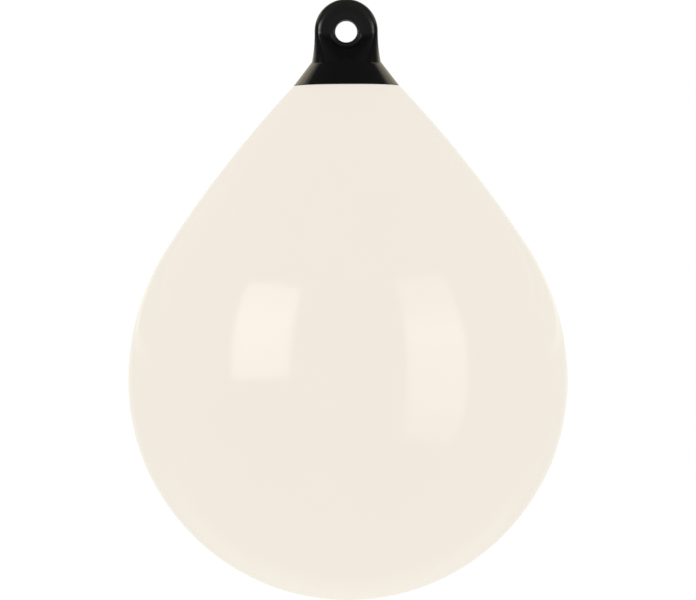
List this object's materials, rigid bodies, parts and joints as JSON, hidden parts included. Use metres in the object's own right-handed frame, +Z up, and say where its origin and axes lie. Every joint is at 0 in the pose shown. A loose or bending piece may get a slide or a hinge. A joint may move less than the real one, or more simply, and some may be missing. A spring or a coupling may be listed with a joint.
{
  "type": "mooring buoy",
  "caption": "Inflatable drop-shaped mooring buoy: hollow vinyl float, moulded rope-eye cap and a screw-plugged air valve.",
  "frame": {"origin": "centre of the rope eye", "axes": "+Z up along the buoy's axis, +Y along the rope eye's axis towards the air valve at the back"},
  "size_m": [0.45, 0.45, 0.6155],
  "materials": {
    "float_vinyl": "glossy cream soft PVC",
    "cap_vinyl": "glossy black moulded PVC",
    "valve_plastic": "satin moulded nylon",
    "washer_rubber": "matt rubber"
  },
  "bodies": {
    "buoy_body": {"float_shell": "float_vinyl", "eye_cap": "cap_vinyl", "valve_seat": "valve_plastic"},
    "plug_washer": {"valve_washer": "washer_rubber"},
    "plug_screw": {"valve_screw": "valve_plastic"}
  },
  "joints": [
    {"name": "valve_travel", "type": "slide", "parent": "buoy_body", "child": "plug_washer", "axis": [0, 0.7934, 0.6088], "range_m": [0, 0.01]},
    {"name": "valve_turn", "type": "hinge", "parent": "plug_washer", "child": "plug_screw", "pos_m": [0, 0.04284, -0.04072], "axis": [0, 0.7934, 0.6088], "range_deg": [0, 1800]}
  ],
  "couplings": [
    {"joint": "valve_turn", "follows": "valve_travel", "rad_per_m": 3141.5}
  ]
}
